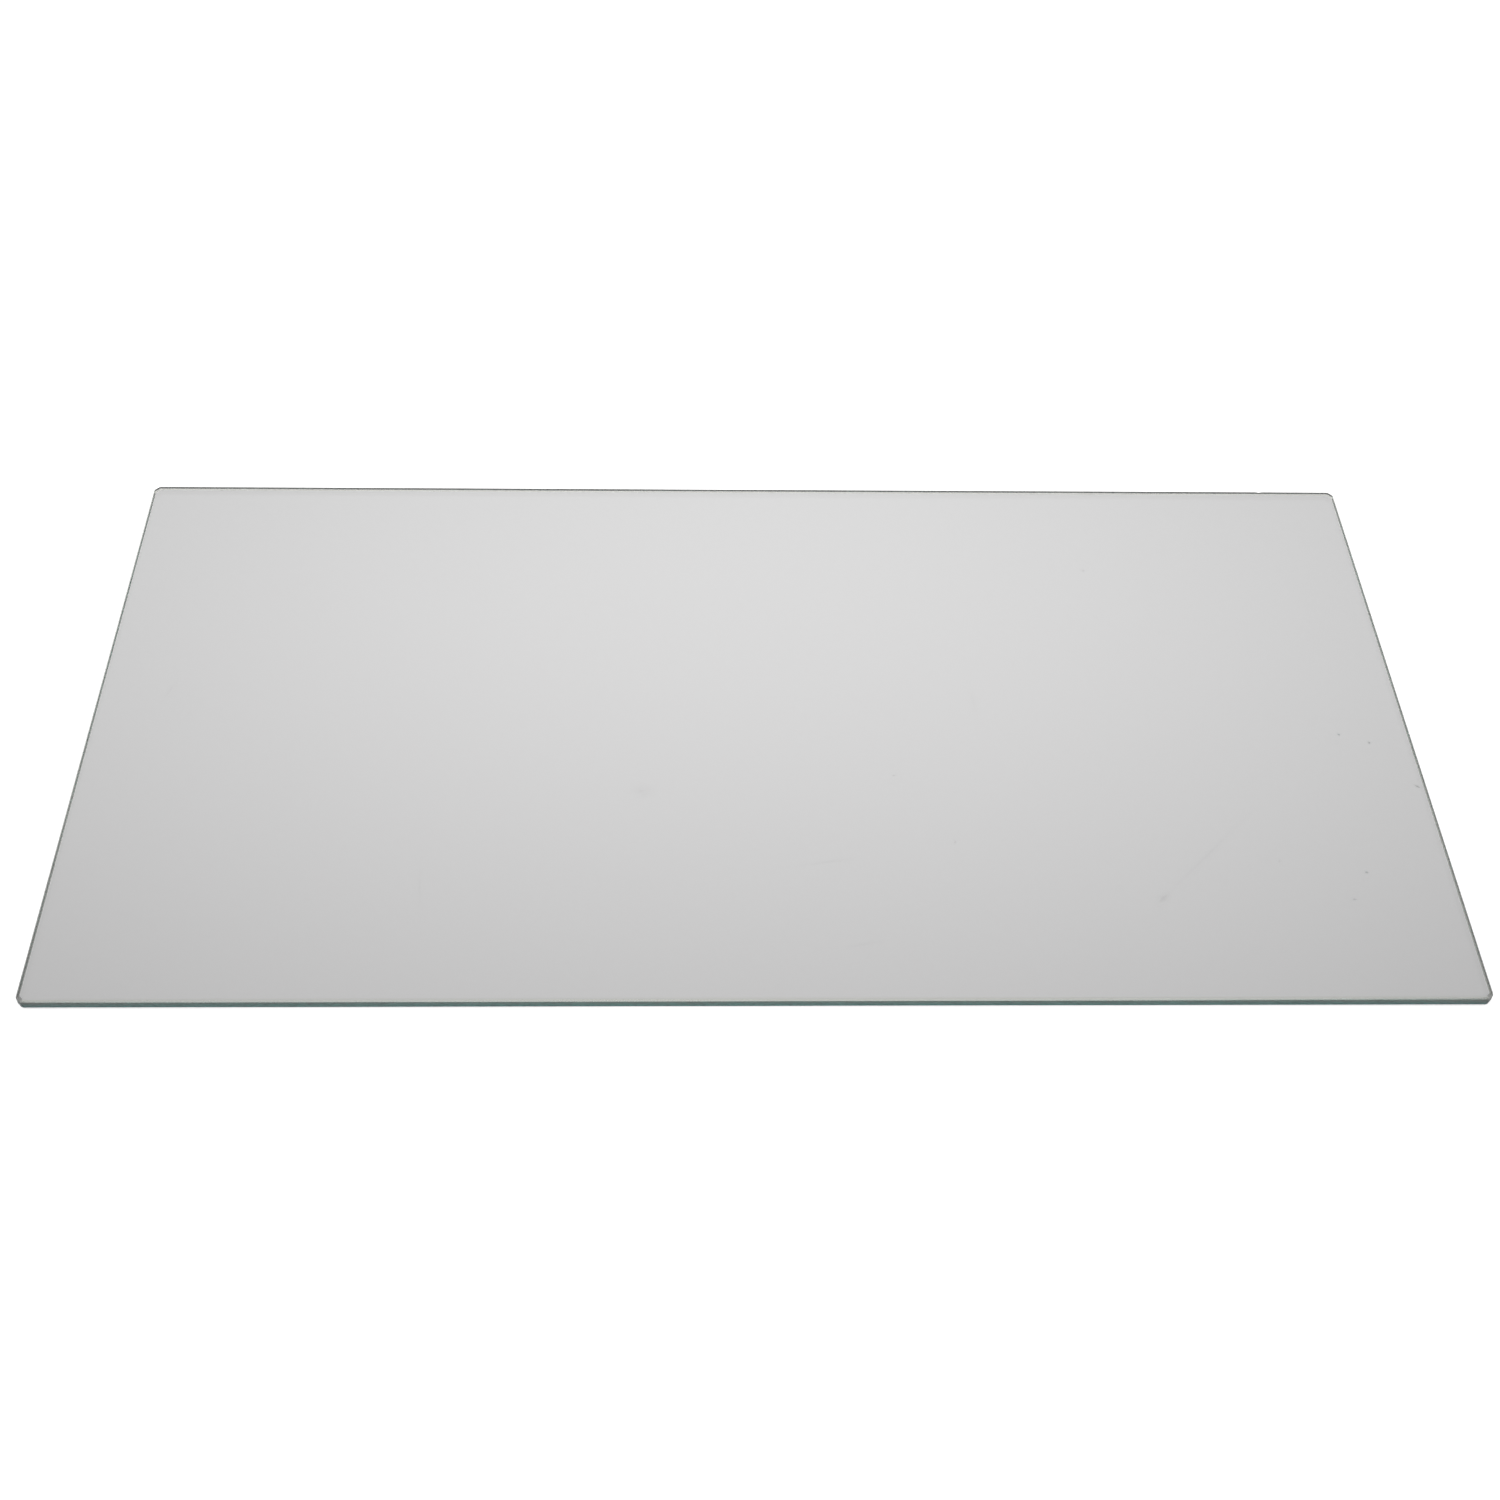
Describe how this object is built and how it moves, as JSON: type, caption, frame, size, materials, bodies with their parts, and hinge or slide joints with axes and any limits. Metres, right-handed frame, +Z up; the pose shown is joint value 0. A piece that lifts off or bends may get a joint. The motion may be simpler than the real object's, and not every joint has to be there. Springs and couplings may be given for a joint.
{
  "type": "refrigerator glass shelf",
  "caption": "Flat rectangular pane of clear float glass with dubbed corners and ground, arrised edges; lies on the ledges inside a refrigerator and carries food.",
  "frame": {"origin": "middle of the lower face, on the surface that the pane lies on", "axes": "+X along the pane's length, from its left end to its right end; +Y from the front edge to the rear edge; +Z up through the thickness"},
  "size_m": [0.52, 0.275, 0.004],
  "materials": {
    "clear_glass": "clear float glass, polished faces, finely ground green-grey edges"
  },
  "bodies": {
    "root": {"glass_pane": "clear_glass"}
  },
  "joints": []
}
